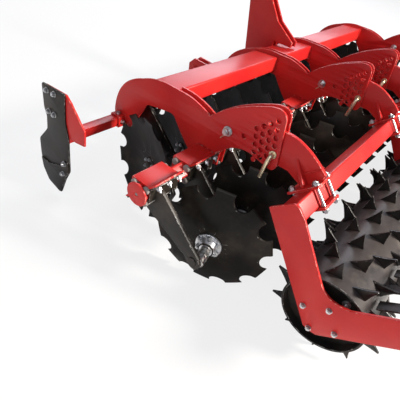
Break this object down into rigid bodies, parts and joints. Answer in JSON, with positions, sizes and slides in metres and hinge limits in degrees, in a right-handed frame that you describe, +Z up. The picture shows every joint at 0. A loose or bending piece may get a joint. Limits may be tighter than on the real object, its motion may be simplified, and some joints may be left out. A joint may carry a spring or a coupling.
{
  "type": "mounted compact disc harrow",
  "caption": "Mounted compact disc harrow: two rows of notched discs on separate trailing arms, hooked side plates, side deflectors and a spiked rear roller in two halves.",
  "frame": {"origin": "bottom centre of the bounding box, on the ground", "axes": "+X to the machine's left, +Y to the rear, +Z up; the machine is drawn along -Y"},
  "size_m": [3.469, 1.986, 1.124],
  "materials": {
    "red_paint": "gloss paint",
    "black_paint": "satin black paint with worn steel edges",
    "disc_steel": "gloss black-brown on tempered steel",
    "roller_steel": "satin black",
    "zinc": "zinc-plated bolts and pins",
    "rubber": "matt rubber cord"
  },
  "bodies": {
    "frame": {"front_row_beam": "black_paint", "rear_row_beam": "black_paint", "side_plate_left_outer_outer": "red_paint", "side_plate_left_outer_inner": "red_paint", "side_plate_left_inner_outer": "red_paint", "side_plate_left_inner_inner": "red_paint", "side_plate_right_inner_outer": "red_paint", "side_plate_right_inner_inner": "red_paint", "side_plate_right_outer_outer": "red_paint", "side_plate_right_outer_inner": "red_paint", "box_tie_left": "red_paint", "box_tie_middle": "red_paint", "box_tie_right": "red_paint", "lower_hitch_left": "red_paint", "lower_hitch_right": "red_paint", "headstock_mast": "red_paint"},
    "roller_frame_left": {"roller_beam_left": "red_paint", "roller_end_left_outer": "red_paint", "roller_end_left_inner": "red_paint", "roller_arm_left_outer": "red_paint", "roller_arm_left_inner": "red_paint", "scraper_bar_left": "red_paint"},
    "roller_left": {"spiked_roller_left": "roller_steel"},
    "deflector_left": {"deflector_arm_left": "red_paint", "deflector_blade_left": "black_paint"},
    "roller_frame_right": {"roller_beam_right": "red_paint", "roller_end_right_outer": "red_paint", "roller_end_right_inner": "red_paint", "roller_arm_right_outer": "red_paint", "roller_arm_right_inner": "red_paint", "scraper_bar_right": "red_paint"},
    "roller_right": {"spiked_roller_right": "roller_steel"},
    "deflector_right": {"deflector_arm_right": "red_paint", "deflector_blade_right": "black_paint"},
    "front_disc_01": {"front_disc_01": "disc_steel"},
    "front_disc_02": {"front_disc_02": "disc_steel"},
    "front_disc_03": {"front_disc_03": "disc_steel"},
    "front_disc_04": {"front_disc_04": "disc_steel"},
    "front_disc_05": {"front_disc_05": "disc_steel"},
    "front_disc_06": {"front_disc_06": "disc_steel"},
    "front_disc_07": {"front_disc_07": "disc_steel"},
    "front_disc_08": {"front_disc_08": "disc_steel"},
    "front_disc_09": {"front_disc_09": "disc_steel"},
    "front_disc_10": {"front_disc_10": "disc_steel"},
    "front_disc_11": {"front_disc_11": "disc_steel"},
    "front_disc_12": {"front_disc_12": "disc_steel"},
    "rear_disc_01": {"rear_disc_01": "disc_steel"},
    "rear_disc_02": {"rear_disc_02": "disc_steel"},
    "rear_disc_03": {"rear_disc_03": "disc_steel"},
    "rear_disc_04": {"rear_disc_04": "disc_steel"},
    "rear_disc_05": {"rear_disc_05": "disc_steel"},
    "rear_disc_06": {"rear_disc_06": "disc_steel"},
    "rear_disc_07": {"rear_disc_07": "disc_steel"},
    "rear_disc_08": {"rear_disc_08": "disc_steel"},
    "rear_disc_09": {"rear_disc_09": "disc_steel"},
    "rear_disc_10": {"rear_disc_10": "disc_steel"},
    "rear_disc_11": {"rear_disc_11": "disc_steel"},
    "rear_disc_12": {"rear_disc_12": "disc_steel"}
  },
  "joints": [
    {"name": "roller_depth_left", "type": "hinge", "parent": "frame", "child": "roller_frame_left", "pos_m": [0.75, -0.119, 0.663], "axis": [1, 0, 0], "range_deg": [-2, 11]},
    {"name": "roller_spin_left", "type": "hinge", "parent": "roller_frame_left", "child": "roller_left", "pos_m": [0.766, 0.629, 0.25186], "axis": [1, 0, 0], "continuous": true},
    {"name": "deflector_slide_left", "type": "slide", "parent": "frame", "child": "deflector_left", "axis": [1, 0, 0], "range_m": [0, 0.1]},
    {"name": "roller_depth_right", "type": "hinge", "parent": "frame", "child": "roller_frame_right", "pos_m": [-0.75, -0.119, 0.663], "axis": [1, 0, 0], "range_deg": [-2, 11]},
    {"name": "roller_spin_right", "type": "hinge", "parent": "roller_frame_right", "child": "roller_right", "pos_m": [-0.766, 0.629, 0.25186], "axis": [1, 0, 0], "continuous": true},
    {"name": "deflector_slide_right", "type": "slide", "parent": "frame", "child": "deflector_right", "axis": [-1, 0, 0], "range_m": [0, 0.1]},
    {"name": "front_disc_01_spin", "type": "hinge", "parent": "frame", "child": "front_disc_01", "pos_m": [1.32853, -0.48094, 0.27655], "axis": [0.9563, -0.2924, 0], "continuous": true},
    {"name": "front_disc_02_spin", "type": "hinge", "parent": "frame", "child": "front_disc_02", "pos_m": [1.07853, -0.48094, 0.27655], "axis": [0.9563, -0.2924, 0], "continuous": true},
    {"name": "front_disc_03_spin", "type": "hinge", "parent": "frame", "child": "front_disc_03", "pos_m": [0.82853, -0.48094, 0.27655], "axis": [0.9563, -0.2924, 0], "continuous": true},
    {"name": "front_disc_04_spin", "type": "hinge", "parent": "frame", "child": "front_disc_04", "pos_m": [0.57853, -0.48094, 0.27655], "axis": [0.9563, -0.2924, 0], "continuous": true},
    {"name": "front_disc_05_spin", "type": "hinge", "parent": "frame", "child": "front_disc_05", "pos_m": [0.32853, -0.48094, 0.27655], "axis": [0.9563, -0.2924, 0], "continuous": true},
    {"name": "front_disc_06_spin", "type": "hinge", "parent": "frame", "child": "front_disc_06", "pos_m": [0.07853, -0.48094, 0.27655], "axis": [0.9563, -0.2924, 0], "continuous": true},
    {"name": "front_disc_07_spin", "type": "hinge", "parent": "frame", "child": "front_disc_07", "pos_m": [-0.17147, -0.48094, 0.27655], "axis": [0.9563, -0.2924, 0], "continuous": true},
    {"name": "front_disc_08_spin", "type": "hinge", "parent": "frame", "child": "front_disc_08", "pos_m": [-0.42147, -0.48094, 0.27655], "axis": [0.9563, -0.2924, 0], "continuous": true},
    {"name": "front_disc_09_spin", "type": "hinge", "parent": "frame", "child": "front_disc_09", "pos_m": [-0.67147, -0.48094, 0.27655], "axis": [0.9563, -0.2924, 0], "continuous": true},
    {"name": "front_disc_10_spin", "type": "hinge", "parent": "frame", "child": "front_disc_10", "pos_m": [-0.92147, -0.48094, 0.27655], "axis": [0.9563, -0.2924, 0], "continuous": true},
    {"name": "front_disc_11_spin", "type": "hinge", "parent": "frame", "child": "front_disc_11", "pos_m": [-1.17147, -0.48094, 0.27655], "axis": [0.9563, -0.2924, 0], "continuous": true},
    {"name": "front_disc_12_spin", "type": "hinge", "parent": "frame", "child": "front_disc_12", "pos_m": [-1.42147, -0.48094, 0.27655], "axis": [0.9563, -0.2924, 0], "continuous": true},
    {"name": "rear_disc_01_spin", "type": "hinge", "parent": "frame", "child": "rear_disc_01", "pos_m": [1.55297, 0.08906, 0.27655], "axis": [-0.9563, -0.2924, 0], "continuous": true},
    {"name": "rear_disc_02_spin", "type": "hinge", "parent": "frame", "child": "rear_disc_02", "pos_m": [1.30297, 0.08906, 0.27655], "axis": [-0.9563, -0.2924, 0], "continuous": true},
    {"name": "rear_disc_03_spin", "type": "hinge", "parent": "frame", "child": "rear_disc_03", "pos_m": [1.05297, 0.08906, 0.27655], "axis": [-0.9563, -0.2924, 0], "continuous": true},
    {"name": "rear_disc_04_spin", "type": "hinge", "parent": "frame", "child": "rear_disc_04", "pos_m": [0.80297, 0.08906, 0.27655], "axis": [-0.9563, -0.2924, 0], "continuous": true},
    {"name": "rear_disc_05_spin", "type": "hinge", "parent": "frame", "child": "rear_disc_05", "pos_m": [0.55297, 0.08906, 0.27655], "axis": [-0.9563, -0.2924, 0], "continuous": true},
    {"name": "rear_disc_06_spin", "type": "hinge", "parent": "frame", "child": "rear_disc_06", "pos_m": [0.30297, 0.08906, 0.27655], "axis": [-0.9563, -0.2924, 0], "continuous": true},
    {"name": "rear_disc_07_spin", "type": "hinge", "parent": "frame", "child": "rear_disc_07", "pos_m": [0.05297, 0.08906, 0.27655], "axis": [-0.9563, -0.2924, 0], "continuous": true},
    {"name": "rear_disc_08_spin", "type": "hinge", "parent": "frame", "child": "rear_disc_08", "pos_m": [-0.19703, 0.08906, 0.27655], "axis": [-0.9563, -0.2924, 0], "continuous": true},
    {"name": "rear_disc_09_spin", "type": "hinge", "parent": "frame", "child": "rear_disc_09", "pos_m": [-0.44703, 0.08906, 0.27655], "axis": [-0.9563, -0.2924, 0], "continuous": true},
    {"name": "rear_disc_10_spin", "type": "hinge", "parent": "frame", "child": "rear_disc_10", "pos_m": [-0.69703, 0.08906, 0.27655], "axis": [-0.9563, -0.2924, 0], "continuous": true},
    {"name": "rear_disc_11_spin", "type": "hinge", "parent": "frame", "child": "rear_disc_11", "pos_m": [-0.94703, 0.08906, 0.27655], "axis": [-0.9563, -0.2924, 0], "continuous": true},
    {"name": "rear_disc_12_spin", "type": "hinge", "parent": "frame", "child": "rear_disc_12", "pos_m": [-1.19703, 0.08906, 0.27655], "axis": [-0.9563, -0.2924, 0], "continuous": true}
  ]
}
